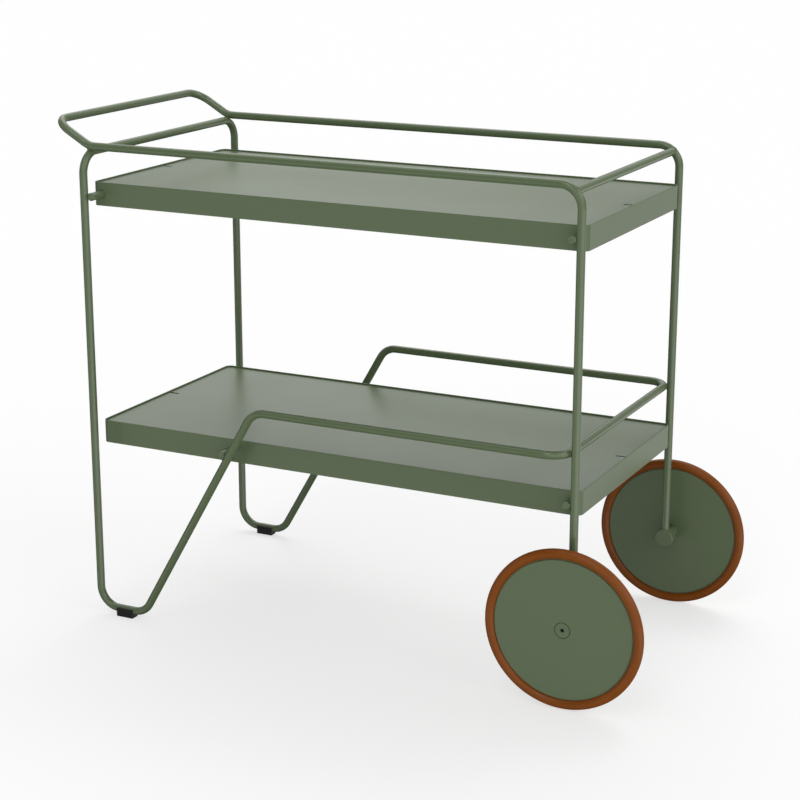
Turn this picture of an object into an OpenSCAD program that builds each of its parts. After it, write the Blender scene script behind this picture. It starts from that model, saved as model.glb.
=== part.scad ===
// Serving trolley: two trays on a bent-tube frame with two large wheels.
// Origin: on the floor, under the middle of the whole length and width.
// +X runs to the wheel end, +Z up. The near side is -Y.

/* [Tube frame] */
// Outer diameter of every frame tube
tube_d = 12; // [11:0.5:13]
// Wall of the frame tube
tube_wall = 1.5; // [1:0.1:2]
// Bend radius of the frame, on the tube's centreline
bend_r = 32; // [29:0.5:36]
// Handle-end legs to wheel legs, centre to centre
frame_span = 782; // [680:2:880]
// Height of the top rails' centreline
rail_height = 731; // [700:1:780]
// Top rails apart, centre to centre
rail_spacing = 392; // [360:1:430]
// How far the handle-end hoop stands outside each rail
hoop_step = 18.5; // [17:0.5:21]
// How deep one tube is notched for another where they are welded
weld_notch = 0.3; // [0.2:0.05:0.5]

/* [Handle] */
// Length of each rising arm, from the kink to the cross bar
handle_arm = 70; // [60:1:90]
// Rise of the arms above level
handle_rise = 30; // [20:1:40]
// Bend radius at the handle's corners
handle_bend_r = 28; // [22:1:34]
// Bend radius of the kink where the rails turn upwards
kink_r = 35; // [30:1:45]

/* [Hairpin feet and guard rail] */
// Underside of the hairpin above the floor
foot_lift = 5.5; // [4:0.5:8]
// Leg to the point where the diagonal would meet the floor run
foot_run = 80.5; // [78:0.5:92]
// Straight length of the hairpin's leg, from its bend up to the joint with the hoop
hairpin_leg = 30; // [20:1:60]
// Slope of the diagonal from level
diagonal_slope = 60; // [57:1:63]
// Height of the guard rail's centreline
guard_height = 361.5; // [345:0.5:400]
// Bend radius at the guard rail's corners
guard_bend_r = 30; // [27:0.5:34]
// Length of each rubber foot
foot_len = 28; // [20:1:29]
// Rubber beside the tube
foot_wall = 2.2; // [1.5:0.1:3]

/* [Trays] */
// Top edge of the upper tray below the top rails' centreline
upper_tray_drop = 54.8; // [45:0.1:75]
// Top edge of the lower tray below the guard rail's centreline
lower_tray_drop = 55.7; // [45:0.1:75]
// Height of the trays' edge band
band_h = 35.5; // [28:0.5:42]
// Thickness of the edge band
band_t = 2; // [1.5:0.1:3]
// Corner radius of the band, outside
tray_corner_r = 10; // [8:0.5:20]
// Tray past the centre of the legs at each end
tray_overhang = 5; // [0:0.5:12]
// Gap between the trays and the wheel legs
tray_side_gap = 4.7; // [4:0.1:10]
// Thickness of the tray plates
plate_t = 1.5; // [1:0.1:2.5]
// Plate below the band's edge
plate_drop = 2.5; // [1.5:0.5:8]
// Extra radius of a plate's corners, to keep them clear of the band's
plate_corner_relief = 0.5; // [0.3:0.1:1.5]
// Slot at each end of a plate: length, along the tray
slot_len = 16; // [9:0.5:20]
// Slot width
slot_w = 5; // [4.5:0.1:7]
// Outer end of the slot from the end of the tray
slot_end_gap = 3.5; // [3.2:0.1:12]
// Step round a plate's top edge, to keep its face clear of the band
plate_edge_step = 0.3; // [0.2:0.1:0.6]
// Diameter of the bars that carry the trays
rod_d = 12; // [10:0.5:13]
// Handle-end bars past the centre of the tube they are welded to
rod_end_past = 1; // [0:0.5:5]
// Chamfer round the bars' outer ends
rod_chamfer = 1; // [0.5:0.1:1.5]
// Tray screw: thread diameter
screw_d = 6; // [5:0.5:6.5]
// Tray screw: length under the head
screw_len = 14; // [10:0.5:16]
// Tray screw: head diameter
screw_head_d = 10.5; // [9.5:0.1:11.5]
// Tray screw: head height
screw_head_h = 3.3; // [2.5:0.1:4]

/* [Wheels] */
// Wheel over the tyre
wheel_d = 235; // [210:1:250]
// Diameter of the tyre's round section
tyre_d = 14.4; // [13:0.1:16]
// Thickness of the wheel disc
disc_t = 7.5; // [6.5:0.1:9]
// Gap between the disc's rounded edge and the tyre
disc_edge_gap = 0.5; // [0.3:0.1:1]
// Rounding of the disc's edge
disc_edge_r = 1.4; // [1:0.1:1.6]
// Depth of the disc's tongue in the tyre
tongue_depth = 3.6; // [2.5:0.1:4.5]
// Step from the straight part of the disc's edge to the tongue's side
tongue_step = 0.35; // [0.3:0.05:0.6]
// Outer diameter of the boss on the wheel leg
boss_d = 29; // [27:0.5:32]
// Length of the boss
boss_len = 17.5; // [16:0.5:22]
// How far the boss stands out of the inner side of the leg
boss_proud = 1.5; // [0.5:0.5:3]
// Chamfer round the boss's inner end
boss_chamfer = 1; // [0.5:0.1:1.4]
// Outer diameter of the hub collar behind the disc
collar_d = 21; // [20:0.5:24]
// Length of the hub collar
collar_len = 16.6; // [13:0.1:20]
// Outer diameter of the wheel bushes
bush_d = 14; // [13:0.5:16]
// Diameter of the bush flanges
bush_flange_d = 18; // [17:0.5:20]
// Thickness of the bush flanges
bush_flange_t = 0.8; // [0.6:0.1:1.2]
// Depth of each bush in the wheel
bush_len = 8; // [6:0.1:9]
// Diameter of the axle inside the bushes
axle_d = 10; // [9:0.5:11]
// Diameter of the axle's thread in the boss
axle_thread_d = 8; // [6:0.5:8.5]
// Length of the axle's thread
axle_thread_len = 15; // [12:0.5:15.5]
// Diameter of the axle's flush cap
cap_d = 22.2; // [20.5:0.1:25]
// Thickness of the cap
cap_t = 2.6; // [2:0.1:3]
// Hexagon socket in the cap, across the flats
socket_af = 5; // [4:0.5:6]
// Depth of the hexagon socket
socket_depth = 5; // [4:0.5:6]

/* [Fits] */
// Radial clearance of the axle in the bushes
axle_clearance = 0.05; // [0.03:0.01:0.08]
// Gap along the axle between turning and fixed faces
running_gap = 0.3; // [0.2:0.05:0.4]
// Radial clearance round the cap and the bush flange
cap_clearance = 0.4; // [0.3:0.05:0.5]
// Clearance of the screws in the band, on the diameter
screw_clearance = 0.4; // [0.3:0.1:0.8]

/* [Hidden] */
$fn = 48;

frame_paint = "darkolivegreen";
tray_paint = "olivedrab";
rubber_brown = "sienna";
past = 1;

// Frame: stations along X, half widths and heights
handle_reach = handle_arm * cos(handle_rise);
overall_len = tube_d / 2 + handle_reach + frame_span + wheel_d / 2;
hoop_x = tube_d / 2 + handle_reach - overall_len / 2;
wheel_x = hoop_x + frame_span;
bar_x = hoop_x - handle_reach;
bar_z = rail_height + handle_arm * sin(handle_rise);
rail_y = rail_spacing / 2;
hoop_y = rail_y + hoop_step;
bore_d = tube_d - 2 * tube_wall;

// Two tubes whose planes are hoop_step apart touch where one bends past the other
function nest(r) = sqrt(pow(r + tube_d - weld_notch, 2) - pow(r - hoop_step, 2)) - r;
kink_trim = kink_r * tan(handle_rise / 2);
rail_z_at_hoop = rail_height + kink_r - sqrt(pow(kink_r, 2) - pow(kink_trim, 2));
hoop_z = rail_z_at_hoop - nest(bend_r);
guard_x = wheel_x - nest(guard_bend_r);

// Wheel-end crossbar, on the top bend where it is as high as the hoop's bar
crossbar_angle = acos((hoop_z - rail_height + bend_r) / bend_r);
crossbar_x = wheel_x - bend_r + bend_r * sin(crossbar_angle);

// Hairpins
foot_z = foot_lift + tube_d / 2;
hairpin_seam_z = foot_z + bend_r + hairpin_leg;
diagonal_foot_x = hoop_x + foot_run;
diagonal_top_x = diagonal_foot_x + (guard_height - foot_z) / tan(diagonal_slope);
foot_x = hoop_x + (bend_r + foot_run - bend_r * tan(diagonal_slope / 2)) / 2;

// Trays
tray_y = rail_y - tube_d / 2 - tray_side_gap;
tray_x1 = hoop_x - tray_overhang;
tray_x2 = wheel_x + tray_overhang;
tray_mid_x = (tray_x1 + tray_x2) / 2;
rod_offset = (tube_d + rod_d) / 2 - weld_notch;
tray_levels = [rail_height - upper_tray_drop, guard_height - lower_tray_drop];

// Wheels, measured outwards from the boss's inner end
wheel_z = wheel_d / 2;
boss_y1 = rail_y - tube_d / 2 - boss_proud;
boss_y2 = boss_y1 + boss_len;
collar_y1 = boss_y2 + running_gap + bush_flange_t;
disc_y1 = collar_y1 + collar_len;
disc_y2 = disc_y1 + disc_t;
disc_mid_y = disc_y1 + disc_t / 2;
cap_y1 = disc_y2 - cap_t;
cap_seat_y = cap_y1 - running_gap - bush_flange_t;
tyre_ring_r = (wheel_d - tyre_d) / 2;
tongue_t = disc_t - 2 * (disc_edge_r + tongue_step);
tongue_r = tyre_ring_r - tyre_d / 2 + tongue_depth;

function unit(v) = v / norm(v);

// Places a shape by the directions of its own axes and its origin
module placed(x, y, z, origin) {
    multmatrix([
        [x[0], y[0], z[0], origin[0]],
        [x[1], y[1], z[1], origin[1]],
        [x[2], y[2], z[2], origin[2]],
        [0, 0, 0, 1]
    ])
        children();
}

// Bends a bar of the child's section along the points, each inner one rounded.
// The section's +X faces the outside of the bends, its +Y the normal of their plane.
module bent_bar(points, radii) {
    runs = len(points) - 1;
    heading = [for (i = [0:runs - 1]) unit(points[i + 1] - points[i])];
    normal = [for (i = [1:runs - 1]) unit(cross(heading[i - 1], heading[i]))];
    turn = [for (i = [1:runs - 1]) acos(heading[i - 1] * heading[i])];
    trim = [0, each [for (i = [0:runs - 2]) radii[i] * tan(turn[i] / 2)], 0];
    straight = [for (i = [0:runs - 1]) norm(points[i + 1] - points[i]) - trim[i] - trim[i + 1]];
    twist = [
        for (i = [1:runs - 2])
            atan2(cross(normal[i - 1], normal[i]) * heading[i], normal[i - 1] * normal[i])
    ];
    placed(cross(heading[0], normal[0]), heading[0], normal[0], points[0])
        bar_from(0, straight, radii, turn, twist)
            children();
}

// Straight run i along +Y and the bend after it, then the rest of the bar from there
module bar_from(i, straight, radii, turn, twist) {
    if (straight[i] > 0.01)
        translate([0, straight[i], 0])
            rotate([90, 0, 0])
                linear_extrude(straight[i])
                    children();
    if (i < len(turn))
        translate([-radii[i], straight[i], 0]) {
            rotate_extrude(angle = turn[i], $fn = 96)
                translate([radii[i], 0])
                    children();
            if (i < len(twist))
                rotate([0, 0, turn[i]])
                    translate([radii[i], 0, 0])
                        rotate([0, twist[i], 0])
                            bar_from(i + 1, straight, radii, turn, twist)
                                children();
            else if (straight[i + 1] > 0.01)
                rotate([0, 0, turn[i]])
                    translate([radii[i], straight[i + 1], 0])
                        rotate([90, 0, 0])
                            linear_extrude(straight[i + 1])
                                children();
        }
}

module bent_tube(points, radii) {
    bent_bar(points, radii)
        difference() {
            circle(d = tube_d);
            circle(d = bore_d);
        }
}

// Bar along Y, from y1 to y2
module cross_bar(d, y1, y2) {
    translate([0, y1, 0])
        rotate([-90, 0, 0])
            cylinder(d = d, h = y2 - y1);
}

// Point on the line from a bend's corner to the next point, where the bend ends
function bend_end(corner, next, r, angle) = corner + r * tan(angle / 2) * unit(next - corner);

// Paths of the bent tubes. Each tube ends where a bend ends, butted against the next tube.
function kink(side) = [hoop_x, side * rail_y, rail_height];
function arm_end(side) = [bar_x, side * rail_y, bar_z];
function arm_start(side) = bend_end(kink(side), arm_end(side), kink_r, handle_rise);
function side_path(side) = [
    [wheel_x, side * rail_y, wheel_z],
    [wheel_x, side * rail_y, rail_height],
    kink(side),
    arm_start(side)
];
handle_path = [arm_start(-1), arm_end(-1), arm_end(1), arm_start(1)];
hoop_path = [
    [hoop_x, -hoop_y, hairpin_seam_z],
    [hoop_x, -hoop_y, hoop_z],
    [hoop_x, hoop_y, hoop_z],
    [hoop_x, hoop_y, hairpin_seam_z]
];
function diagonal_foot(side) = [diagonal_foot_x, side * hoop_y, foot_z];
function diagonal_top(side) = [diagonal_top_x, side * hoop_y, guard_height];
function guard_corner(side) = [guard_x, side * hoop_y, guard_height];
function diagonal_start(side) =
    bend_end(diagonal_foot(side), diagonal_top(side), bend_r, diagonal_slope);
function guard_start(side) =
    bend_end(diagonal_top(side), guard_corner(side), bend_r, diagonal_slope);
function hairpin_path(side) = [
    [hoop_x, side * hoop_y, hairpin_seam_z],
    [hoop_x, side * hoop_y, foot_z],
    diagonal_foot(side),
    diagonal_start(side)
];
function diagonal_path(side) = [diagonal_start(side), diagonal_top(side), guard_start(side)];
guard_path = [guard_start(-1), guard_corner(-1), guard_corner(1), guard_start(1)];

// Frame tubes as solid bars, to notch what is welded to them
module side_bar(side) {
    bent_bar(side_path(side), [bend_r, kink_r])
        circle(d = tube_d);
}

module side_tube(side) {
    difference() {
        bent_tube(side_path(side), [bend_r, kink_r]);
        translate([wheel_x, 0, wheel_z])
            cross_bar(boss_d, -overall_len, overall_len);
    }
}

module near_side_tube() {
    color(frame_paint)
        side_tube(-1);
}

module far_side_tube() {
    color(frame_paint)
        side_tube(1);
}

module handle_tube() {
    color(frame_paint)
        bent_tube(handle_path, [handle_bend_r, handle_bend_r]);
}

module wheel_end_crossbar() {
    color(frame_paint)
        difference() {
            translate([crossbar_x, 0, hoop_z])
                difference() {
                    cross_bar(tube_d, -rail_y, rail_y);
                    cross_bar(bore_d, -rail_y - past, rail_y + past);
                }
            side_bar(-1);
            side_bar(1);
        }
}

module handle_end_hoop() {
    color(frame_paint)
        difference() {
            bent_tube(hoop_path, [bend_r, bend_r]);
            side_bar(-1);
            side_bar(1);
        }
}

module near_hairpin() {
    color(frame_paint)
        bent_tube(hairpin_path(-1), [bend_r, bend_r]);
}

module far_hairpin() {
    color(frame_paint)
        bent_tube(hairpin_path(1), [bend_r, bend_r]);
}

module near_diagonal() {
    color(frame_paint)
        bent_tube(diagonal_path(-1), [bend_r]);
}

module far_diagonal() {
    color(frame_paint)
        bent_tube(diagonal_path(1), [bend_r]);
}

module guard_rail() {
    color(frame_paint)
        difference() {
            bent_tube(guard_path, [guard_bend_r, guard_bend_r]);
            side_bar(-1);
            side_bar(1);
        }
}

// Boss at the foot of a wheel leg, drilled for the axle's thread
module wheel_boss() {
    color(frame_paint)
        translate([wheel_x, 0, wheel_z])
            difference() {
                union() {
                    translate([0, boss_y1, 0])
                        rotate([-90, 0, 0])
                            cylinder(d1 = boss_d - 2 * boss_chamfer, d2 = boss_d, h = boss_chamfer);
                    cross_bar(boss_d, boss_y1 + boss_chamfer, boss_y2);
                }
                cross_bar(axle_thread_d, boss_y2 - axle_thread_len, boss_y2 + past);
            }
}

module near_wheel_boss() {
    mirror([0, 1, 0])
        wheel_boss();
}

module far_wheel_boss() {
    wheel_boss();
}

// Axle bolt: thread, plain shank and flush cap with a hexagon socket
module axle_bolt() {
    color(frame_paint)
        translate([wheel_x, 0, wheel_z])
            difference() {
                union() {
                    cross_bar(axle_thread_d, boss_y2 - axle_thread_len, boss_y2);
                    cross_bar(axle_d, boss_y2, disc_y2);
                    cross_bar(cap_d, cap_y1, disc_y2);
                }
                translate([0, disc_y2 - socket_depth, 0])
                    rotate([-90, 0, 0])
                        cylinder(d = socket_af / cos(30), h = socket_depth + past, $fn = 6);
            }
}

module near_axle_bolt() {
    mirror([0, 1, 0])
        axle_bolt();
}

module far_axle_bolt() {
    axle_bolt();
}

// Rubber foot: a saddle clipped round the lower half of the hairpin
module foot(side) {
    half_w = tube_d / 2 + foot_wall;
    clip_top = foot_z + tube_d / 4;
    color("dimgray")
        translate([foot_x - foot_len / 2, side * hoop_y, 0])
            rotate([90, 0, 90])
                linear_extrude(foot_len)
                    difference() {
                        union() {
                            translate([0, foot_z])
                                circle(r = half_w);
                            translate([-half_w, foot_wall])
                                square([2 * half_w, foot_z - foot_wall]);
                            translate([foot_wall - half_w, 0])
                                square([2 * (half_w - foot_wall), foot_z]);
                            for (x = [foot_wall - half_w, half_w - foot_wall])
                                translate([x, foot_wall])
                                    circle(r = foot_wall);
                        }
                        translate([0, foot_z])
                            circle(d = tube_d);
                        translate([-half_w - past, clip_top])
                            square([2 * (half_w + past), tube_d]);
                    }
}

module near_foot() {
    foot(-1);
}

module far_foot() {
    foot(1);
}

// Where each tray's carrying bars stand: x, side, and the y of their outer end
function rods(level) = [
    for (side = [-1, 1])
        each [
            [
                level == 0 ? hoop_x + rod_offset : diagonal_x(rod_z(level)) - rod_offset / sin(diagonal_slope),
                side,
                hoop_y + rod_end_past
            ],
            [wheel_x - rod_offset, side, rail_y + tube_d / 2]
        ]
];
function diagonal_x(z) = diagonal_foot_x + (z - foot_z) / tan(diagonal_slope);
function rod_z(level) = tray_levels[level] - band_h / 2;

// Screw from inside the band into a rod, drawn along +Y at the upper or lower tray
module screw(d, head_d) {
    cross_bar(d, tray_y - band_t, tray_y - band_t + screw_len);
    cross_bar(head_d, tray_y - band_t - screw_head_h, tray_y - band_t);
}

module at_rods(level) {
    for (rod = rods(level))
        translate([rod[0], 0, rod_z(level)])
            mirror([0, rod[1] < 0 ? 1 : 0, 0])
                children();
}

// Edge strip bent round the tray and butt welded at the middle of the handle end
module tray_band(level) {
    corner_r = tray_corner_r - band_t / 2;
    x1 = tray_x1 + band_t / 2;
    x2 = tray_x2 - band_t / 2;
    y = tray_y - band_t / 2;
    z = tray_levels[level] - band_h;
    color(tray_paint)
        difference() {
            bent_bar(
                [[x1, 0, z], [x1, -y, z], [x2, -y, z], [x2, y, z], [x1, y, z], [x1, 0, z]],
                [corner_r, corner_r, corner_r, corner_r]
            ) {
                translate([-band_t / 2, 0])
                    square([band_t, band_h - band_t / 2]);
                translate([0, band_h - band_t / 2])
                    circle(d = band_t);
            }
            at_rods(level)
                cross_bar(screw_d + screw_clearance, tray_y - band_t - past, tray_y + past);
        }
}

module upper_tray_band() {
    tray_band(0);
}

module lower_tray_band() {
    tray_band(1);
}

module rounded_rectangle(x, y, r) {
    square([x - 2 * r, y], center = true);
    square([x, y - 2 * r], center = true);
    for (i = [-1, 1], j = [-1, 1])
        translate([i * (x / 2 - r), j * (y / 2 - r)])
            circle(r = r);
}

module slot(x, y) {
    square([x - y, y], center = true);
    for (i = [-1, 1])
        translate([i * (x - y) / 2, 0])
            circle(d = y);
}

// Plate inside the band, with a round-ended slot near each end
module tray_plate(level) {
    inside_x = tray_x2 - tray_x1 - 2 * band_t;
    inside_y = 2 * (tray_y - band_t);
    corner_r = tray_corner_r - band_t + plate_corner_relief;
    slot_mid_x = (tray_x2 - tray_x1 - slot_len) / 2 - slot_end_gap;
    step = plate_edge_step;
    color(tray_paint)
        translate([tray_mid_x, 0, tray_levels[level] - plate_drop - plate_t])
            difference() {
                union() {
                    linear_extrude(plate_t - step)
                        rounded_rectangle(inside_x, inside_y, corner_r);
                    linear_extrude(plate_t)
                        rounded_rectangle(inside_x - 2 * step, inside_y - 2 * step, corner_r);
                }
                for (end = [-1, 1])
                    translate([end * slot_mid_x, 0, -past])
                        linear_extrude(plate_t + 2 * past)
                            slot(slot_len, slot_w);
            }
}

module upper_tray_plate() {
    tray_plate(0);
}

module lower_tray_plate() {
    tray_plate(1);
}

// Short bars from the tray's side out beside the leg they are welded to:
// flush with the wheel leg's outer face, a little past the middle of the hoop's leg
module carrying_bars(level) {
    for (rod = rods(level))
        translate([rod[0], 0, rod_z(level)])
            mirror([0, rod[1] < 0 ? 1 : 0, 0]) {
                cross_bar(rod_d, tray_y, rod[2] - rod_chamfer);
                translate([0, rod[2] - rod_chamfer, 0])
                    rotate([-90, 0, 0])
                        cylinder(d1 = rod_d, d2 = rod_d - 2 * rod_chamfer, h = rod_chamfer);
            }
}

module upper_tray_rods() {
    color(frame_paint)
        difference() {
            carrying_bars(0);
            at_rods(0)
                screw(screw_d, screw_head_d);
            bent_bar(hoop_path, [bend_r, bend_r])
                circle(d = tube_d);
            side_bar(-1);
            side_bar(1);
        }
}

module lower_tray_rods() {
    color(frame_paint)
        difference() {
            carrying_bars(1);
            at_rods(1)
                screw(screw_d, screw_head_d);
            for (side = [-1, 1])
                bent_bar(diagonal_path(side), [bend_r])
                    circle(d = tube_d);
            side_bar(-1);
            side_bar(1);
        }
}

module tray_screws() {
    color("silver")
        for (level = [0, 1])
            at_rods(level)
                screw(screw_d, screw_head_d);
}

// Wheel disc: rounded edge, a tongue for the tyre, a seat for the cap
module wheel_disc() {
    disc_r = tyre_ring_r - tyre_d / 2 - disc_edge_gap;
    flat_r = disc_r - disc_edge_r;
    color(frame_paint)
        translate([wheel_x, 0, wheel_z])
            difference() {
                translate([0, disc_mid_y, 0])
                    rotate([-90, 0, 0])
                        rotate_extrude($fn = 96) {
                            translate([0, -disc_t / 2])
                                square([flat_r, disc_t]);
                            translate([0, disc_edge_r - disc_t / 2])
                                square([disc_r, disc_t - 2 * disc_edge_r]);
                            for (side = [-1, 1])
                                intersection() {
                                    translate([flat_r, side * (disc_t / 2 - disc_edge_r)])
                                        circle(r = disc_edge_r);
                                    translate([0, -disc_t / 2])
                                        square([disc_r, disc_t]);
                                }
                            translate([0, -tongue_t / 2])
                                square([tongue_r, tongue_t]);
                        }
                cross_bar(bush_d, disc_y1 - past, disc_y2 + past);
                cross_bar(cap_d + 2 * cap_clearance, cap_seat_y, disc_y2 + past);
            }
}

// Hub collar, butted against the back of the disc and bored for the bushes
module wheel_hub() {
    color(frame_paint)
        translate([wheel_x, 0, wheel_z])
            difference() {
                cross_bar(collar_d, collar_y1, disc_y1);
                cross_bar(bush_d, collar_y1 - past, disc_y1 + past);
            }
}

// Two flanged bushes, one from the cap's seat and one from the boss's side
module wheel_bushes() {
    color("ivory")
        translate([wheel_x, 0, wheel_z]) {
            difference() {
                union() {
                    cross_bar(bush_flange_d, cap_seat_y, cap_seat_y + bush_flange_t);
                    cross_bar(bush_d, cap_seat_y - bush_len, cap_seat_y);
                }
                axle_hole();
            }
            difference() {
                union() {
                    cross_bar(bush_flange_d, collar_y1 - bush_flange_t, collar_y1);
                    cross_bar(bush_d, collar_y1, collar_y1 + bush_len);
                }
                axle_hole();
            }
        }
}

module axle_hole() {
    cross_bar(axle_d + 2 * axle_clearance, boss_y2 - past, disc_y2 + past);
}

// Round-section tyre, grooved on the inside for the disc's tongue
module tyre() {
    color(rubber_brown)
        translate([wheel_x, disc_mid_y, wheel_z])
            rotate([-90, 0, 0])
                rotate_extrude($fn = 96)
                    difference() {
                        translate([tyre_ring_r, 0])
                            circle(d = tyre_d);
                        translate([0, -tongue_t / 2])
                            square([tongue_r, tongue_t]);
                    }
}

module near_wheel_disc() {
    mirror([0, 1, 0])
        wheel_disc();
}

module near_wheel_hub() {
    mirror([0, 1, 0])
        wheel_hub();
}

module near_wheel_bushes() {
    mirror([0, 1, 0])
        wheel_bushes();
}

module near_tyre() {
    mirror([0, 1, 0])
        tyre();
}

module far_wheel_disc() {
    wheel_disc();
}

module far_wheel_hub() {
    wheel_hub();
}

module far_wheel_bushes() {
    wheel_bushes();
}

module far_tyre() {
    tyre();
}

near_side_tube();
far_side_tube();
handle_tube();
wheel_end_crossbar();
handle_end_hoop();
near_hairpin();
far_hairpin();
near_diagonal();
far_diagonal();
guard_rail();
near_wheel_boss();
far_wheel_boss();
near_axle_bolt();
far_axle_bolt();
near_foot();
far_foot();
upper_tray_band();
upper_tray_plate();
lower_tray_band();
lower_tray_plate();
upper_tray_rods();
lower_tray_rods();
tray_screws();
near_wheel_disc();
near_wheel_hub();
near_wheel_bushes();
near_tyre();
far_wheel_disc();
far_wheel_hub();
far_wheel_bushes();
far_tyre();
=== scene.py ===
# %% [markdown]
# # A serving trolley: its finishes, welds and light
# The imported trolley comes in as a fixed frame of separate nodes. This lesson leaves every node
# where it is and works on what a maker would do last: the powder coat, the rubber, the small
# screws and weld beads, and the photographer's light.

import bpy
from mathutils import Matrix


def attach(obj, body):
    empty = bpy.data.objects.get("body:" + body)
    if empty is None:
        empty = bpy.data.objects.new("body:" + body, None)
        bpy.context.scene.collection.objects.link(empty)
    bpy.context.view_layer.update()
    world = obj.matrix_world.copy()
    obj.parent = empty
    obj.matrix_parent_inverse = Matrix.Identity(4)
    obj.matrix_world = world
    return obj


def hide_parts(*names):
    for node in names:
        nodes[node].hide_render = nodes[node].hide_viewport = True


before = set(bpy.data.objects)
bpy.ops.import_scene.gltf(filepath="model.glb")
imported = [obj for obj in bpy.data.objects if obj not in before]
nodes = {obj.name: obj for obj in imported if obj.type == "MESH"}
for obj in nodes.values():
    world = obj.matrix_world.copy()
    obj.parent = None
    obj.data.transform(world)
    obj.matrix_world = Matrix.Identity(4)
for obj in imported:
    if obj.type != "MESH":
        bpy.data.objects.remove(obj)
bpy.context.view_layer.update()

# %% Other modules
import math

import bpy
from mathutils import Vector

# %% [markdown]
# ## The camera
# A product photograph is taken from far away with a long lens, so that parallel tubes stay
# nearly parallel. The lens and the place below put every tube where the photograph has it.

# %% Camera
CAMERA_PLACE = (1.29459, -2.58492, 1.15998)
CAMERA_DOWN = 0.2753
CAMERA_TURN = 0.4644
LENS = 88.42
camera_data = bpy.data.cameras.new("camera")
camera_data.lens = LENS
camera_data.clip_end = 100
camera = bpy.data.objects.new("camera", camera_data)
camera.location = CAMERA_PLACE
camera.rotation_euler = (math.pi / 2 - CAMERA_DOWN, 0, CAMERA_TURN)
bpy.context.scene.collection.objects.link(camera)
bpy.context.scene.camera = camera
print("camera", tuple(round(x, 3) for x in camera.location))

# %% [markdown]
# ## Helpers for shader nodes
# Every finish is a small network of nodes. These helpers add a node with its values, and join
# two sockets, so that each network reads as a list of steps.


# %% Node helpers
def add_node(tree, kind, **values):
    node = tree.nodes.new(kind)
    for name, value in values.items():
        setattr(node, name, value)
    return node


def new_material(name):
    material = bpy.data.materials.new(name)
    material.use_nodes = True
    tree = material.node_tree
    shader = tree.nodes["Principled BSDF"]
    return material, tree, shader


def srgb(red, green, blue):
    """A colour as picked on the screen, 0 to 255, as the linear numbers that shaders use."""
    parts = []
    for value in (red, green, blue):
        x = value / 255
        parts.append(x / 12.92 if x <= 0.04045 else ((x + 0.055) / 1.055) ** 2.4)
    return (*parts, 1.0)


print("mid grey in linear light", round(srgb(128, 128, 128)[0], 3))

# %% [markdown]
# ## Powder coat as a node group
# Powder paint melts and flows in an oven. It dries with a faint orange peel about two
# millimetres across, and its colour drifts a little over the piece. Frame, trays and wheels
# share the effect, so it is one group: it puts out a colour, a roughness and a bump height.

# %% Powder coat group
PEEL_SCALE = 420.0
GRAIN_SCALE = 2600.0
DRIFT_SCALE = 7.0
GRAIN_IN_COLOUR = 0.5
GRAIN_IN_HEIGHT = 0.25
GRAIN_IN_ROUGHNESS = 0.12


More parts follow.
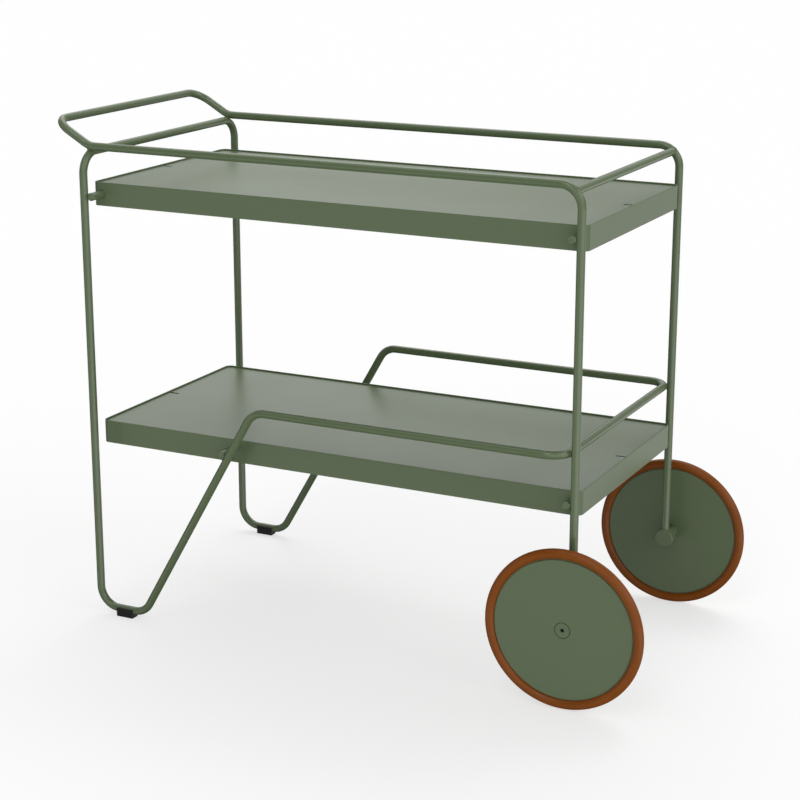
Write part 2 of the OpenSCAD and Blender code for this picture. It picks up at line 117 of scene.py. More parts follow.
def powder_coat_group():
    tree = bpy.data.node_groups.new("powder coat", "ShaderNodeTree")
    face = tree.interface
    colour_in = face.new_socket("Paint", in_out="INPUT", socket_type="NodeSocketColor")
    colour_in.default_value = (0.1, 0.13, 0.07, 1)
    drift_in = face.new_socket("Drift", in_out="INPUT", socket_type="NodeSocketFloat")
    drift_in.default_value = 0.06
    rough_in = face.new_socket("Roughness", in_out="INPUT", socket_type="NodeSocketFloat")
    rough_in.default_value = 0.4
    face.new_socket("Color", in_out="OUTPUT", socket_type="NodeSocketColor")
    face.new_socket("Roughness", in_out="OUTPUT", socket_type="NodeSocketFloat")
    face.new_socket("Height", in_out="OUTPUT", socket_type="NodeSocketFloat")
    group_in = add_node(tree, "NodeGroupInput")
    group_out = add_node(tree, "NodeGroupOutput")
    place = add_node(tree, "ShaderNodeTexCoord")
    peel = add_node(tree, "ShaderNodeTexNoise")
    peel.inputs["Scale"].default_value = PEEL_SCALE
    peel.inputs["Detail"].default_value = 1.0
    grain = add_node(tree, "ShaderNodeTexNoise")
    grain.inputs["Scale"].default_value = GRAIN_SCALE
    grain.inputs["Detail"].default_value = 2.0
    drift = add_node(tree, "ShaderNodeTexNoise")
    drift.inputs["Scale"].default_value = DRIFT_SCALE
    drift.inputs["Detail"].default_value = 4.0
    for texture in (peel, grain, drift):
        tree.links.new(place.outputs["Object"], texture.inputs["Vector"])
    # Colour: the paint, lighter and darker by the drift and a little by the grain
    centred = add_node(tree, "ShaderNodeMath", operation="SUBTRACT")
    centred.inputs[1].default_value = 0.5
    tree.links.new(drift.outputs["Fac"], centred.inputs[0])
    grain_centred = add_node(tree, "ShaderNodeMath", operation="SUBTRACT")
    grain_centred.inputs[1].default_value = 0.5
    tree.links.new(grain.outputs["Fac"], grain_centred.inputs[0])
    both = add_node(tree, "ShaderNodeMath", operation="MULTIPLY_ADD")
    both.inputs[1].default_value = GRAIN_IN_COLOUR
    tree.links.new(grain_centred.outputs[0], both.inputs[0])
    tree.links.new(centred.outputs[0], both.inputs[2])
    value = add_node(tree, "ShaderNodeMath", operation="MULTIPLY_ADD")
    value.inputs[2].default_value = 1.0
    tree.links.new(both.outputs[0], value.inputs[0])
    tree.links.new(group_in.outputs["Drift"], value.inputs[1])
    shade = add_node(tree, "ShaderNodeHueSaturation")
    tree.links.new(group_in.outputs["Paint"], shade.inputs["Color"])
    tree.links.new(value.outputs[0], shade.inputs["Value"])
    tree.links.new(shade.outputs["Color"], group_out.inputs["Color"])
    # Roughness: a little more matt where the grain is high
    rough = add_node(tree, "ShaderNodeMath", operation="MULTIPLY_ADD")
    rough.inputs[1].default_value = GRAIN_IN_ROUGHNESS
    tree.links.new(both.outputs[0], rough.inputs[0])
    tree.links.new(group_in.outputs["Roughness"], rough.inputs[2])
    tree.links.new(rough.outputs[0], group_out.inputs["Roughness"])
    # Height: the peel, and a quarter of the grain on top of it
    height = add_node(tree, "ShaderNodeMath", operation="MULTIPLY_ADD")
    height.inputs[1].default_value = GRAIN_IN_HEIGHT
    tree.links.new(grain.outputs["Fac"], height.inputs[0])
    tree.links.new(peel.outputs["Fac"], height.inputs[2])
    tree.links.new(height.outputs[0], group_out.inputs["Height"])
    return tree


POWDER_COAT = powder_coat_group()
print("group", POWDER_COAT.name, [s.name for s in POWDER_COAT.interface.items_tree])

# %% [markdown]
# ## Bands round the wheels' axle
# Two finishes need to know how far a point lies from the axle: the tyre dulls on its tread, and
# the fine gap round the axle's cap gets painted shade. One group measures that distance, square to
# the axle, and puts out a mask that rises and falls between four radii.

# %% Axle band group
AXLE = (0.36556, 0.0, 0.1175)  # the point of both axles' line on the trolley's middle


def axle_band_group():
    tree = bpy.data.node_groups.new("axle band", "ShaderNodeTree")
    face = tree.interface
    for name in ("Rise From", "Rise To", "Fall From", "Fall To"):
        face.new_socket(name, in_out="INPUT", socket_type="NodeSocketFloat")
    face.new_socket("Mask", in_out="OUTPUT", socket_type="NodeSocketFloat")
    group_in = add_node(tree, "NodeGroupInput")
    group_out = add_node(tree, "NodeGroupOutput")
    place = add_node(tree, "ShaderNodeTexCoord")
    flat = add_node(tree, "ShaderNodeVectorMath", operation="MULTIPLY")
    flat.inputs[1].default_value = (1, 0, 1)
    tree.links.new(place.outputs["Object"], flat.inputs[0])
    from_axle = add_node(tree, "ShaderNodeVectorMath", operation="DISTANCE")
    from_axle.inputs[1].default_value = AXLE
    tree.links.new(flat.outputs[0], from_axle.inputs[0])
    ramps = []
    for start, stop, first, last in (("Rise From", "Rise To", 0, 1), ("Fall From", "Fall To", 1, 0)):
        ramp = add_node(tree, "ShaderNodeMapRange", interpolation_type="SMOOTHSTEP")
        tree.links.new(from_axle.outputs["Value"], ramp.inputs["Value"])
        tree.links.new(group_in.outputs[start], ramp.inputs["From Min"])
        tree.links.new(group_in.outputs[stop], ramp.inputs["From Max"])
        ramp.inputs["To Min"].default_value = first
        ramp.inputs["To Max"].default_value = last
        ramps.append(ramp)
    mask = add_node(tree, "ShaderNodeMath", operation="MULTIPLY")
    tree.links.new(ramps[0].outputs["Result"], mask.inputs[0])
    tree.links.new(ramps[1].outputs["Result"], mask.inputs[1])
    tree.links.new(mask.outputs[0], group_out.inputs["Mask"])
    return tree


AXLE_BAND = axle_band_group()


def axle_band(tree, *radii):
    """A mask that is 1 between the middle two of four radii round the axle, in metres."""
    band = add_node(tree, "ShaderNodeGroup", node_tree=AXLE_BAND)
    for name, radius in zip(("Rise From", "Rise To", "Fall From", "Fall To"), radii):
        band.inputs[name].default_value = radius
    return band.outputs["Mask"]


print("group", AXLE_BAND.name)

# %% [markdown]
# ## Painted shade in recesses
# The walls of the trays' slots, the gap round each axle's cap and the hexagon in it are given
# painted shade. A mask picks those places out, and the paint mixes towards a dark grey green there.


# %% Masks of the recesses
TRAY_MIDDLE = (-0.02544, 0, 0)
SLOT_PLACE = 0.3845  # along the trolley, from the tray's middle
SLOT_HALF_LENGTH = 0.0082
SLOT_HALF_WIDTH = 0.0027
CAP_GAP = (0.0107, 0.0110, 0.0116, 0.0119)  # radii round the axle
CAP_SOCKET = (-0.002, -0.001, 0.0026, 0.0029)  # its rise lies under zero, to take the middle in


# Painted shade: plate_paint darkens the slots' walls through this mask.
def slot_walls(tree):
    """Upright walls inside the two slots of a tray, which lie alike about the tray's middle."""
    place = add_node(tree, "ShaderNodeTexCoord")
    from_middle = add_node(tree, "ShaderNodeVectorMath", operation="SUBTRACT")
    from_middle.inputs[1].default_value = TRAY_MIDDLE
    tree.links.new(place.outputs["Object"], from_middle.inputs[0])
    folded = add_node(tree, "ShaderNodeVectorMath", operation="ABSOLUTE")
    tree.links.new(from_middle.outputs[0], folded.inputs[0])
    axes = add_node(tree, "ShaderNodeSeparateXYZ")
    tree.links.new(folded.outputs[0], axes.inputs[0])
    along = add_node(tree, "ShaderNodeMath", operation="COMPARE")
    along.inputs[1].default_value = SLOT_PLACE
    along.inputs[2].default_value = SLOT_HALF_LENGTH
    tree.links.new(axes.outputs["X"], along.inputs[0])
    across = add_node(tree, "ShaderNodeMath", operation="LESS_THAN")
    across.inputs[1].default_value = SLOT_HALF_WIDTH
    tree.links.new(axes.outputs["Y"], across.inputs[0])
    surface = add_node(tree, "ShaderNodeNewGeometry")
    facing = add_node(tree, "ShaderNodeSeparateXYZ")
    tree.links.new(surface.outputs["True Normal"], facing.inputs[0])
    upright = add_node(tree, "ShaderNodeMath", operation="COMPARE")
    upright.inputs[1].default_value = 0
    upright.inputs[2].default_value = 0.5
    tree.links.new(facing.outputs["Z"], upright.inputs[0])
    inside = add_node(tree, "ShaderNodeMath", operation="MULTIPLY")
    tree.links.new(along.outputs[0], inside.inputs[0])
    tree.links.new(across.outputs[0], inside.inputs[1])
    walls = add_node(tree, "ShaderNodeMath", operation="MULTIPLY")
    tree.links.new(inside.outputs[0], walls.inputs[0])
    tree.links.new(upright.outputs[0], walls.inputs[1])
    return walls.outputs[0]


# Painted shade: wheel_paint darkens the cap's gap and its hexagon through this mask.
def cap_gap(tree):
    """The gap round the axle's cap and the hexagon in the cap's middle."""
    gap = axle_band(tree, *CAP_GAP)
    socket = axle_band(tree, *CAP_SOCKET)
    both = add_node(tree, "ShaderNodeMath", operation="MAXIMUM")
    tree.links.new(gap, both.inputs[0])
    tree.links.new(socket, both.inputs[1])
    return both.outputs[0]


# %% Painted steel material
PAINT = srgb(95, 110, 80)
# The dark grey green of the painted shade in recesses.
RECESS_SHADE_COLOUR = srgb(22, 27, 18)
PEEL_DEPTH = 0.00003


def painted_steel(name, drift, roughness, recess=None):
    """Powder-coated steel. In the mask that recess makes, the paint gets painted shade, dark and
    matt.
    """
    material, tree, shader = new_material(name)
    coat = add_node(tree, "ShaderNodeGroup", node_tree=POWDER_COAT)
    coat.inputs["Paint"].default_value = PAINT
    coat.inputs["Drift"].default_value = drift
    coat.inputs["Roughness"].default_value = roughness
    bump = add_node(tree, "ShaderNodeBump")
    bump.inputs["Strength"].default_value = 0.5
    bump.inputs["Distance"].default_value = PEEL_DEPTH
    paint, rough = coat.outputs["Color"], coat.outputs["Roughness"]
    # Painted shade: inside the recess mask the colour mixes towards a dark grey green, and the paint
    # turns matt.
    if recess:
        mask = recess(tree)
        shaded = add_node(tree, "ShaderNodeMix", data_type="RGBA")
        shaded.inputs["B"].default_value = RECESS_SHADE_COLOUR
        tree.links.new(mask, shaded.inputs["Factor"])
        tree.links.new(paint, shaded.inputs["A"])
        matt = add_node(tree, "ShaderNodeMix", data_type="FLOAT")
        matt.inputs["B"].default_value = 0.9
        tree.links.new(mask, matt.inputs["Factor"])
        tree.links.new(rough, matt.inputs["A"])
        paint, rough = shaded.outputs["Result"], matt.outputs["Result"]
    tree.links.new(paint, shader.inputs["Base Color"])
    tree.links.new(rough, shader.inputs["Roughness"])
    tree.links.new(coat.outputs["Height"], bump.inputs["Height"])
    tree.links.new(bump.outputs["Normal"], shader.inputs["Normal"])
    return material


frame_paint = painted_steel("frame_paint", 0.08, 0.20)
tray_paint = painted_steel("tray_paint", 0.06, 0.33)
# The plates' slot walls, and the wheels' cap gap and hexagon, carry painted shade.
plate_paint = painted_steel("plate_paint", 0.06, 0.33, slot_walls)
wheel_paint = painted_steel("wheel_paint", 0.08, 0.30, cap_gap)
print("painted steel", frame_paint.name, tray_paint.name, plate_paint.name, wheel_paint.name)


# %% [markdown]
# ## Dyed rubber
# The tyres are brown rubber with a satin skin. Clouds of lighter and darker dye run through it,
# and under them lies a grain too fine to count. A wheel that has rolled a little is duller where
# it meets the floor, so the skin is rougher in a narrow band along the tread. The feet are the
# same kind of rubber in black.


# %% Rubber
TREAD_BAND = (0.1160, 0.1175, 0.12, 0.13)
TREAD_DULLING = 0.25
GRAIN_ROUGHNESS = 0.16


def rubber(name, light, dark, roughness, gloss, bump_depth, tread_band=None):
    """Rubber. With a tread band, four radii round the axle, its skin is duller there."""
    material, tree, shader = new_material(name)
    shader.inputs["Specular IOR Level"].default_value = gloss
    place = add_node(tree, "ShaderNodeTexCoord")
    cloud = add_node(tree, "ShaderNodeTexNoise")
    cloud.inputs["Scale"].default_value = 24.0
    cloud.inputs["Detail"].default_value = 5.0
    grain = add_node(tree, "ShaderNodeTexNoise")
    grain.inputs["Scale"].default_value = 1800.0
    grain.inputs["Detail"].default_value = 3.0
    for texture in (cloud, grain):
        tree.links.new(place.outputs["Object"], texture.inputs["Vector"])
    dye = add_node(tree, "ShaderNodeMix", data_type="RGBA")
    dye.inputs["A"].default_value = dark
    dye.inputs["B"].default_value = light
    tree.links.new(cloud.outputs["Fac"], dye.inputs["Factor"])
    tree.links.new(dye.outputs["Result"], shader.inputs["Base Color"])
    rough = add_node(tree, "ShaderNodeMath", operation="MULTIPLY_ADD")
    rough.inputs[1].default_value = GRAIN_ROUGHNESS
    rough.inputs[2].default_value = roughness - GRAIN_ROUGHNESS / 2
    tree.links.new(grain.outputs["Fac"], rough.inputs[0])
    if tread_band:
        dulled = add_node(tree, "ShaderNodeMath", operation="MULTIPLY_ADD", use_clamp=True)
        dulled.inputs[1].default_value = TREAD_DULLING
        tree.links.new(axle_band(tree, *tread_band), dulled.inputs[0])
        tree.links.new(rough.outputs[0], dulled.inputs[2])
        rough = dulled
    tree.links.new(rough.outputs[0], shader.inputs["Roughness"])
    bump = add_node(tree, "ShaderNodeBump")
    bump.inputs["Strength"].default_value = 0.5
    bump.inputs["Distance"].default_value = bump_depth
    tree.links.new(grain.outputs["Fac"], bump.inputs["Height"])
    tree.links.new(bump.outputs["Normal"], shader.inputs["Normal"])
    return material


tyre_rubber = rubber(
    "tyre_rubber", srgb(136, 73, 15), srgb(117, 61, 9), 0.32, 0.25, 0.00002, TREAD_BAND)
foot_rubber = rubber("foot_rubber", srgb(20, 20, 20), srgb(9, 9, 9), 0.55, 0.4, 0.0001)
print("rubbers", tyre_rubber.name, foot_rubber.name)


# %% Zinc-plated steel and the bushes' plastic
def plated_steel(name, colour):
    """Zinc on steel: metallic, in patches of slightly different grey, each a crystal's width."""
    material, tree, shader = new_material(name)
    shader.inputs["Metallic"].default_value = 1.0
    place = add_node(tree, "ShaderNodeTexCoord")
    spangle = add_node(tree, "ShaderNodeTexVoronoi")
    spangle.inputs["Scale"].default_value = 900.0
    tree.links.new(place.outputs["Object"], spangle.inputs["Vector"])
    patch = add_node(tree, "ShaderNodeSeparateColor")
    tree.links.new(spangle.outputs["Color"], patch.inputs["Color"])
    grey = add_node(tree, "ShaderNodeMix", data_type="RGBA")
    grey.inputs["A"].default_value = tuple(0.8 * c for c in colour[:3]) + (1,)
    grey.inputs["B"].default_value = colour
    tree.links.new(patch.outputs["Red"], grey.inputs["Factor"])
    tree.links.new(grey.outputs["Result"], shader.inputs["Base Color"])
    rough = add_node(tree, "ShaderNodeMath", operation="MULTIPLY_ADD")
    rough.inputs[1].default_value = 0.15
    rough.inputs[2].default_value = 0.25
    tree.links.new(patch.outputs["Green"], rough.inputs[0])
    tree.links.new(rough.outputs[0], shader.inputs["Roughness"])
    return material


def moulded_plastic(name, colour):
    """Moulded plastic: one colour with a faint cloud, and the mould's fine spark texture."""
    material, tree, shader = new_material(name)
    place = add_node(tree, "ShaderNodeTexCoord")
    cloud = add_node(tree, "ShaderNodeTexNoise")
    cloud.inputs["Scale"].default_value = 120.0
    spark = add_node(tree, "ShaderNodeTexNoise")
    spark.inputs["Scale"].default_value = 4000.0
    for texture in (cloud, spark):
        tree.links.new(place.outputs["Object"], texture.inputs["Vector"])
    tint = add_node(tree, "ShaderNodeMix", data_type="RGBA")
    tint.inputs["A"].default_value = tuple(0.92 * c for c in colour[:3]) + (1,)
    tint.inputs["B"].default_value = colour
    tree.links.new(cloud.outputs["Fac"], tint.inputs["Factor"])
    tree.links.new(tint.outputs["Result"], shader.inputs["Base Color"])
    rough = add_node(tree, "ShaderNodeMath", operation="MULTIPLY_ADD")
    rough.inputs[1].default_value = 0.1
    rough.inputs[2].default_value = 0.45
    tree.links.new(spark.outputs["Fac"], rough.inputs[0])
    tree.links.new(rough.outputs[0], shader.inputs["Roughness"])
    bump = add_node(tree, "ShaderNodeBump")
    bump.inputs["Strength"].default_value = 0.3
    bump.inputs["Distance"].default_value = 0.00003
    tree.links.new(spark.outputs["Fac"], bump.inputs["Height"])
    tree.links.new(bump.outputs["Normal"], shader.inputs["Normal"])
    return material


screw_steel = plated_steel("screw_steel", srgb(196, 196, 192))
bush_plastic = moulded_plastic("bush_plastic", srgb(228, 226, 214))
print("small parts", screw_steel.name, bush_plastic.name)

# %% Give each node its finish
FINISHES = {
    "upper_tray_band": tray_paint,
    "upper_tray_plate": plate_paint,
    "lower_tray_band": tray_paint,
    "lower_tray_plate": plate_paint,
    "near_foot": foot_rubber,
    "far_foot": foot_rubber,
    "tray_screws": screw_steel,
}
for side in ("near", "far"):
    FINISHES[f"{side}_wheel_disc"] = wheel_paint
    FINISHES[f"{side}_wheel_hub"] = wheel_paint
    FINISHES[f"{side}_axle_bolt"] = wheel_paint
    FINISHES[f"{side}_tyre"] = tyre_rubber
    FINISHES[f"{side}_wheel_bushes"] = bush_plastic
for name, piece in nodes.items():
    piece.data.materials.clear()
    piece.data.materials.append(FINISHES.get(name, frame_paint))
print("finished", len(nodes), "nodes")

# %% [markdown]
# ## Weld beads
# Where two tubes meet, the welder ran a small bead all round the joint. Tubes that only touch
# have a ring of bead about the point of contact. The crossbar ends on a bend, the wheel leg on
# its boss and the hub collar on its disc, and the bead follows the line where the two surfaces
# meet. Each line is a closed path of points, and the bead swells and shrinks along it, once for
# each step of the torch.

# %% Places on the trolley, in metres
TUBE_R = 0.006
HOOP_X = -0.41644
HOOP_Y = 0.2145
WHEEL_X, AXLE_Z = AXLE[0], AXLE[2]
RAIL_Y = 0.196
CONTACT = 0.00585  # tube's centre to the point where it touches another
UPPER_ROD_Z = 0.65845
LOWER_ROD_Z = 0.28805
SLOPE = math.radians(60)
BEAD_OUT = 0.0002  # how far the middle of a bead lies outside the tube that it runs round
TOUCH_R = 0.0043
HUB_Y, HUB_R = -0.2235, 0.0107  # the hub collar's rim on the near disc
PITCH = 0.0011  # one ripple of a bead


# %% Paths of the beads
def ring(middle, normal, radius, steps=96):
    """Points of a circle round a middle, square to a normal."""
    normal = Vector(normal).normalized()
    across = normal.orthogonal().normalized()
    along = normal.cross(across)
    angles = [2 * math.pi * i / steps for i in range(steps)]
    return [Vector(middle) + radius * (math.cos(a) * across + math.sin(a) * along) for a in angles]


def crossbar_line(steps=128):
    """Where the near end of the wheel-end crossbar meets the bend of the side tube."""
    bar_x, bar_z = 0.35504, 0.72272
    bend_x, bend_z, bend_r = 0.33356, 0.699, 0.032
    reach = TUBE_R + BEAD_OUT
    points = []
    for i in range(steps):
        angle = 2 * math.pi * i / steps
        x = bar_x + reach * math.cos(angle)
        z = bar_z + reach * math.sin(angle)
        off = math.hypot(x - bend_x, z - bend_z) - bend_r
        y = -RAIL_Y + math.sqrt(max(0, reach**2 - off**2))
        points.append(Vector((x, y, z)))
    return points


def boss_line(steps=128):
    """Where the near wheel leg stands on its boss."""
    boss_r = 0.0145
    reach = TUBE_R + BEAD_OUT
    points = []
    for i in range(steps):
        angle = 2 * math.pi * i / steps
        x, y = reach * math.cos(angle), reach * math.sin(angle)
        points.append(Vector((WHEEL_X + x, y - RAIL_Y, AXLE_Z + math.sqrt(boss_r**2 - x**2))))
    return points


def touching(x, y, z, normal):
    """The ring of bead round the point where two crossing tubes touch."""
    return ring((x, y, z), normal, TOUCH_R)


# Near side: hoop under the rail, guard rail on the leg, four tray bars on the legs. A normal
# points from the middle of one tube to the middle of the tube that it touches.
rail_turn = math.atan2(0.04156, 0.0135)
rail_normal = (0, -math.cos(rail_turn), math.sin(rail_turn))
guard_turn = math.atan2(0.0115, 0.04008)
guard_normal = (math.cos(guard_turn), -math.sin(guard_turn), 0)
bar_normal = (math.sin(SLOPE), 0, -math.cos(SLOPE))
NEAR_BEADS = {
    "rail": touching(HOOP_X, -0.19419, 0.72672, rail_normal),
    "guard": touching(0.35994, -0.19439, 0.3615, guard_normal),
    "upper_hoop_bar": touching(HOOP_X + CONTACT, -HOOP_Y, UPPER_ROD_Z, (1, 0, 0)),
    "upper_leg_bar": touching(WHEEL_X - CONTACT, -RAIL_Y, UPPER_ROD_Z, (1, 0, 0)),
    "lower_diagonal_bar": touching(-0.18472, -HOOP_Y, 0.28513, bar_normal),
    "lower_leg_bar": touching(WHEEL_X - CONTACT, -RAIL_Y, LOWER_ROD_Z, (1, 0, 0)),
    "crossbar": crossbar_line(),
    "boss": boss_line(),
}
print("beads on the near side", len(NEAR_BEADS))


# %% Bead and copy functions
def lay_bead(name, points, thickness=0.0008):
    """A closed bead along the points, a ripple every PITCH of its length."""
    length = sum((points[i] - points[i - 1]).length for i in range(len(points)))
    ripples = max(6, round(length / PITCH))
    data = bpy.data.curves.new(name, "CURVE")
    data.dimensions = "3D"
    data.bevel_depth = thickness
    data.bevel_resolution = 2
    line = data.splines.new("POLY")
    line.use_cyclic_u = True
    line.points.add(len(points) - 1)
    for i, (knot, place) in enumerate(zip(line.points, points)):
        phase = (i / len(points) * ripples) % 1
        knot.co = (*place, 1)
        knot.radius = 1.12 - 0.3 * phase
    bead = bpy.data.objects.new(name, data)
    bpy.context.scene.collection.objects.link(bead)
    bpy.ops.object.select_all(action="DESELECT")
    bead.select_set(True)
    bpy.context.view_layer.objects.active = bead
    bpy.ops.object.convert(target="MESH")
    return bpy.context.object


def flipped(piece, name):
    """A copy across the trolley's middle, with its own mesh and its faces outwards."""
    other = piece.copy()
    other.data = piece.data.copy()
    other.name = name
    bpy.context.scene.collection.objects.link(other)
    for corner in other.data.vertices:
        corner.co.y = -corner.co.y
    other.data.flip_normals()
    return other


def joined(pieces, name):
    """One object with a new name from several, shaded smooth. It may be one piece only."""
    bpy.ops.object.select_all(action="DESELECT")
    for piece in pieces:
        piece.select_set(True)
    bpy.context.view_layer.objects.active = pieces[0]
    if len(pieces) > 1:
        bpy.ops.object.join()
    whole = bpy.context.object
    whole.name = name
    bpy.ops.object.shade_smooth()
    return whole


def welds(name, beads, body):
    """The finished bead piece of a body, in the frame's paint."""
    whole = joined(beads, name)
    whole.data.materials.clear()
    whole.data.materials.append(frame_paint)
    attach(whole, body)
    return whole


# %% Lay the beads on both sides
near_beads = [lay_bead(f"bead_{name}", points) for name, points in NEAR_BEADS.items()]
far_beads = [flipped(piece, f"far_{piece.name}") for piece in near_beads]
frame_welds = welds("frame_welds", near_beads + far_beads, "frame")
hub_line = ring((WHEEL_X, HUB_Y, AXLE_Z), (0, 1, 0), HUB_R, 160)
hub_bead = lay_bead("bead_hub", hub_line, 0.0007)
far_hub_bead = flipped(hub_bead, "far_bead_hub")
near_hub_weld = welds("near_hub_weld", [hub_bead], "near_wheel")
far_hub_weld = welds("far_hub_weld", [far_hub_bead], "far_wheel")
all_welds = (frame_welds, near_hub_weld, far_hub_weld)
print("weld faces", [len(piece.data.polygons) for piece in all_welds])

# %% [markdown]
# ## Tray screws
# Each tray hangs on four button-head screws, driven from inside its edge into the bars. One
# screw is turned from a cylinder: the head's rim is bevelled into a dome, a hexagon is pressed
# into it for the key, and the shank's end gets a chamfer. The other seven are copies.

# %% Model one screw along +Y, its head's seat at the origin
HEAD_R, HEAD_H, DOME = 0.00525, 0.0033, 0.0026
SHANK_R, SHANK_LEN, SHANK_CHAMFER = 0.003, 0.014, 0.0006
KEY_R, KEY_DEPTH = 0.0024, 0.002
PAST = 0.001  # how far the key's hole starts outside the head, for a clean cut
SHARP = math.radians(35)  # edges that turn more than this stay sharp


def cylinder(radius, y1, y2, sides):
    """A cylinder along Y from y1 to y2."""
    bpy.ops.object.select_all(action="DESELECT")
    bpy.ops.mesh.primitive_cylinder_add(
        vertices=sides, radius=radius, depth=y2 - y1, location=(0, (y1 + y2) / 2, 0),
        rotation=(math.pi / 2, 0, 0))
    piece = bpy.context.object
    bpy.ops.object.transform_apply(location=True, rotation=True, scale=True)
    return piece


def bevel_end(piece, y, width, segments):
    """Bevels the rim of the cylinder's end at this y."""
    for part in (piece.data.edges, piece.data.polygons):
        part.foreach_set("select", [False] * len(part))
    for corner in piece.data.vertices:
        corner.select = abs(corner.co.y - y) < 1e-6
    bpy.ops.object.mode_set(mode="EDIT")
    bpy.ops.mesh.select_mode(type="VERT")
    bpy.ops.mesh.select_mode(type="EDGE")
    bpy.ops.mesh.bevel(offset=width, segments=segments, profile=0.5)
    bpy.ops.object.mode_set(mode="OBJECT")


head = cylinder(HEAD_R, -HEAD_H, 0, 48)
bevel_end(head, -HEAD_H, DOME, 6)
key_hole = cylinder(KEY_R, -HEAD_H - PAST, -HEAD_H + KEY_DEPTH, 6)
bpy.ops.object.select_all(action="DESELECT")
head.select_set(True)
bpy.context.view_layer.objects.active = head
cut = head.modifiers.new("key hole", "BOOLEAN")
cut.operation = "DIFFERENCE"
cut.object = key_hole
bpy.ops.object.modifier_apply(modifier=cut.name)
bpy.data.objects.remove(key_hole)
shank = cylinder(SHANK_R, 0, SHANK_LEN, 32)
bevel_end(shank, SHANK_LEN, SHANK_CHAMFER, 1)
screw = joined([head, shank], "screw")
bpy.ops.object.shade_smooth_by_angle(angle=SHARP)
print("faces of one screw", len(screw.data.polygons))

# %% Set the eight screws
BAND_INSIDE = 0.1833  # where the heads sit on the far band's inner face, across the trolley
DIAGONAL_X = -0.18978  # the lower tray's bar on the diagonal
SCREW_PLACES = [
    (HOOP_X + 2 * CONTACT, UPPER_ROD_Z),
    (WHEEL_X - 2 * CONTACT, UPPER_ROD_Z),
    (DIAGONAL_X, LOWER_ROD_Z),
    (WHEEL_X - 2 * CONTACT, LOWER_ROD_Z),
]
far_screws = []
for x, z in SCREW_PLACES:
    copy = screw.copy()
    copy.data = screw.data.copy()
    bpy.context.scene.collection.objects.link(copy)
    for corner in copy.data.vertices:
        corner.co += Vector((x, BAND_INSIDE, z))
    far_screws.append(copy)
near_screws = [flipped(piece, "near_screw") for piece in far_screws]
bpy.data.objects.remove(screw)
tray_screws = joined(far_screws + near_screws, "tray_screws_detailed")
bpy.ops.object.shade_smooth_by_angle(angle=SHARP)
tray_screws.data.materials.clear()
tray_screws.data.materials.append(screw_steel)
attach(tray_screws, "frame")
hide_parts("tray_screws")
print("screws", len(far_screws) + len(near_screws), "faces", len(tray_screws.data.polygons))

# %% [markdown]
# ## The photographer's light
# The picture was taken in a white room with many soft lights. The room is one world shader:
# round glows, each with a direction, a sharpness and a strength, added up. A higher sharpness
# makes a smaller glow. Those under the horizon are only met by reflections, because the floor
# stops all other light. The camera itself sees plain white.

# %% World
SKY_GLOWS = (
    # degrees above the horizon and sharpness, then degrees round from +X and strength of each
    (42, 6, ((27, 0.49), (117, 1.15))),
    (8, 8, ((297, 1.20), (342, 0.55))),
    (28, 40, ((-15, 1.98), (15, 1.58))),
    (15, 60, ((60, 0.52), (90, 0.39), (120, 0.45), (150, 1.26), (180, 0.85), (210, 1.07),
              (270, 1.22))),
    (36, 60, ((0, 1.48), (60, 1.20), (120, 1.60), (270, 2.15), (330, 0.84))),
    (57, 60, ((90, 4.66), (135, 2.10), (180, 0.51), (225, 1.33), (270, 3.66))),
    (76, 60, ((90, 0.44), (180, 0.71))),
)
GROUND_GLOWS = (
    (-18, 16, ((57, 0.91), (87, 0.45), (207, 0.46), (237, 0.65))),
    (-18, 16, ((297, 0.91), (327, 0.82), (357, 1.13))),
    (-16, 60, ((-75, 0.54), (-45, 0.83), (-30, 0.53), (-15, 0.41), (0, 0.83), (30, 0.38))),
)
world = bpy.data.worlds.new("white_room")
bpy.context.scene.world = world
world.use_nodes = True
room = world.node_tree
direction = add_node(room, "ShaderNodeTexCoord")
axes = add_node(room, "ShaderNodeSeparateXYZ")
room.links.new(direction.outputs["Generated"], axes.inputs[0])
above = add_node(room, "ShaderNodeMath", operation="GREATER_THAN")
above.inputs[1].default_value = 0
room.links.new(axes.outputs["Z"], above.inputs[0])


def add_glow(total, turn, rise, sharpness, strength):
    """Adds a soft round glow to the room's total and puts out the new total."""
    turn, rise = math.radians(turn), math.radians(rise)
    facing = add_node(room, "ShaderNodeVectorMath", operation="DOT_PRODUCT")
    facing.inputs[1].default_value = (
        math.cos(rise) * math.cos(turn), math.cos(rise) * math.sin(turn), math.sin(rise))
    room.links.new(direction.outputs["Generated"], facing.inputs[0])
    ahead = add_node(room, "ShaderNodeMath", operation="MAXIMUM")
    ahead.inputs[1].default_value = 0
    room.links.new(facing.outputs["Value"], ahead.inputs[0])
    falloff = add_node(room, "ShaderNodeMath", operation="POWER")
    falloff.inputs[1].default_value = sharpness
    room.links.new(ahead.outputs[0], falloff.inputs[0])
    added = add_node(room, "ShaderNodeMath", operation="MULTIPLY_ADD")
    added.inputs[1].default_value = strength
    room.links.new(falloff.outputs[0], added.inputs[0])
    if total is not None:
        room.links.new(total.outputs[0], added.inputs[2])
    else:
        added.inputs[2].default_value = 0
    return added


def half_room(rows):
    """All the glows of a table, added up."""
    total = None
    for rise, sharpness, glows in rows:
        for turn, strength in glows:
            total = add_glow(total, turn, rise, sharpness, strength)
    return total


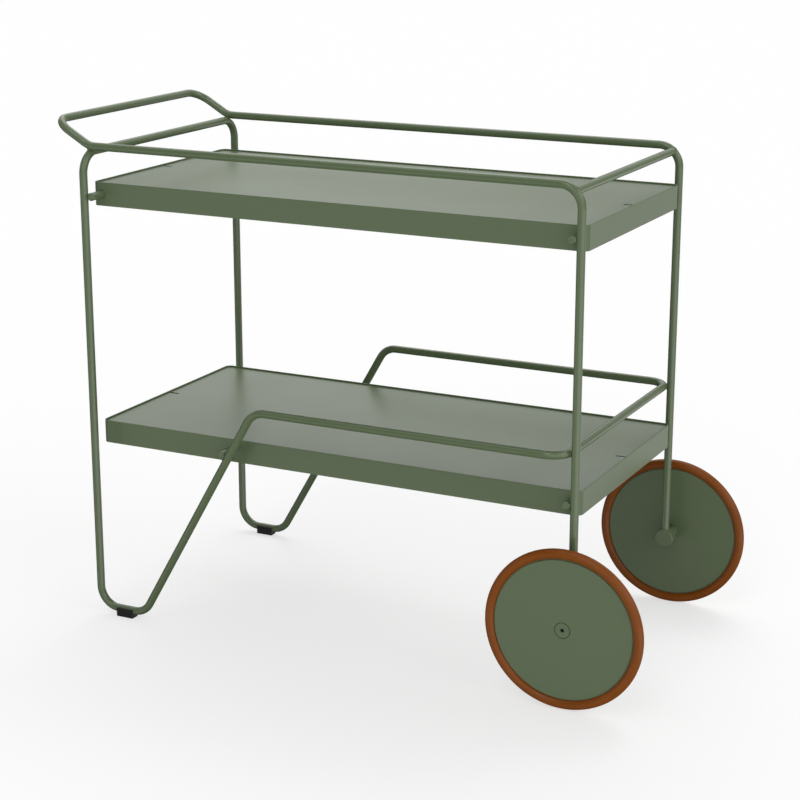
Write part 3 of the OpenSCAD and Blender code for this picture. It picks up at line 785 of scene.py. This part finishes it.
sky = half_room(SKY_GLOWS)
ground = half_room(GROUND_GLOWS)
halves = add_node(room, "ShaderNodeMix", data_type="FLOAT")
room.links.new(above.outputs[0], halves.inputs["Factor"])
room.links.new(ground.outputs[0], halves.inputs["A"])
room.links.new(sky.outputs[0], halves.inputs["B"])
eye = add_node(room, "ShaderNodeLightPath")
brightness = add_node(room, "ShaderNodeMix", data_type="FLOAT")
brightness.inputs["B"].default_value = 1.0
room.links.new(eye.outputs["Is Camera Ray"], brightness.inputs["Factor"])
room.links.new(halves.outputs["Result"], brightness.inputs["A"])
room.nodes["Background"].inputs["Color"].default_value = (1, 1, 1, 1)
room.links.new(brightness.outputs["Result"], room.nodes["Background"].inputs["Strength"])
counts = [sum(len(row[2]) for row in rows) for rows in (SKY_GLOWS, GROUND_GLOWS)]
print("glows", counts[0], "above and", counts[1], "below the horizon")

# %% [markdown]
# ## The floor
# A camera ray sees a white floor with a faint shadow: mostly white by itself, partly lit by the
# room. Diffuse light meets a dark floor that glows, dimly behind the trolley and brightly in
# front of it and to the right. Reflections pass through it to the room's lower glows.

# %% Floor
FLOOR_SIZE = 60
SHADOW_SHARE = 0.4
FLOOR_GREY = 0.1
BACK_GLOW, FRONT_GLOW = 0.37, 0.85
BACK_AT, FRONT_AT = 0.05, 0.65  # metres from the origin towards the front
TO_THE_FRONT = (0.55, -0.83, 0)
bpy.ops.object.select_all(action="DESELECT")
bpy.ops.mesh.primitive_plane_add(size=FLOOR_SIZE, location=(0, 0, 0))
floor = bpy.context.object
floor.name = "floor"
floor_material, tree, shader = new_material("studio_floor")
tree.nodes.remove(shader)


def floor_mix(factor, first, second):
    """The second shader by a factor, a number or a socket, and the first for the rest."""
    mixed = add_node(tree, "ShaderNodeMixShader")
    if isinstance(factor, float):
        mixed.inputs[0].default_value = factor
    else:
        tree.links.new(factor, mixed.inputs[0])
    tree.links.new(first.outputs[0], mixed.inputs[1])
    tree.links.new(second.outputs[0], mixed.inputs[2])
    return mixed


lit = add_node(tree, "ShaderNodeBsdfDiffuse")
lit.inputs["Color"].default_value = (1, 1, 1, 1)
white = add_node(tree, "ShaderNodeEmission")
seen = floor_mix(SHADOW_SHARE, white, lit)
grey = add_node(tree, "ShaderNodeBsdfDiffuse")
grey.inputs["Color"].default_value = (FLOOR_GREY, FLOOR_GREY, FLOOR_GREY, 1)
place = add_node(tree, "ShaderNodeTexCoord")
forward = add_node(tree, "ShaderNodeVectorMath", operation="DOT_PRODUCT")
forward.inputs[1].default_value = TO_THE_FRONT
tree.links.new(place.outputs["Object"], forward.inputs[0])
spread = add_node(tree, "ShaderNodeMapRange", interpolation_type="SMOOTHSTEP")
spread.inputs["From Min"].default_value = BACK_AT
spread.inputs["From Max"].default_value = FRONT_AT
spread.inputs["To Min"].default_value = BACK_GLOW
spread.inputs["To Max"].default_value = FRONT_GLOW
tree.links.new(forward.outputs["Value"], spread.inputs["Value"])
shine = add_node(tree, "ShaderNodeEmission")
tree.links.new(spread.outputs["Result"], shine.inputs["Strength"])
bounce = add_node(tree, "ShaderNodeAddShader")
tree.links.new(grey.outputs[0], bounce.inputs[0])
tree.links.new(shine.outputs[0], bounce.inputs[1])
clear = add_node(tree, "ShaderNodeBsdfTransparent")
path = add_node(tree, "ShaderNodeLightPath")
past_gloss = floor_mix(path.outputs["Is Glossy Ray"], bounce, clear)
chosen = floor_mix(path.outputs["Is Camera Ray"], past_gloss, seen)
tree.links.new(chosen.outputs[0], tree.nodes["Material Output"].inputs["Surface"])
floor.data.materials.append(floor_material)
print("floor", floor.name, "shadow share", SHADOW_SHARE)

bpy.context.scene.view_settings.view_transform = "Standard"
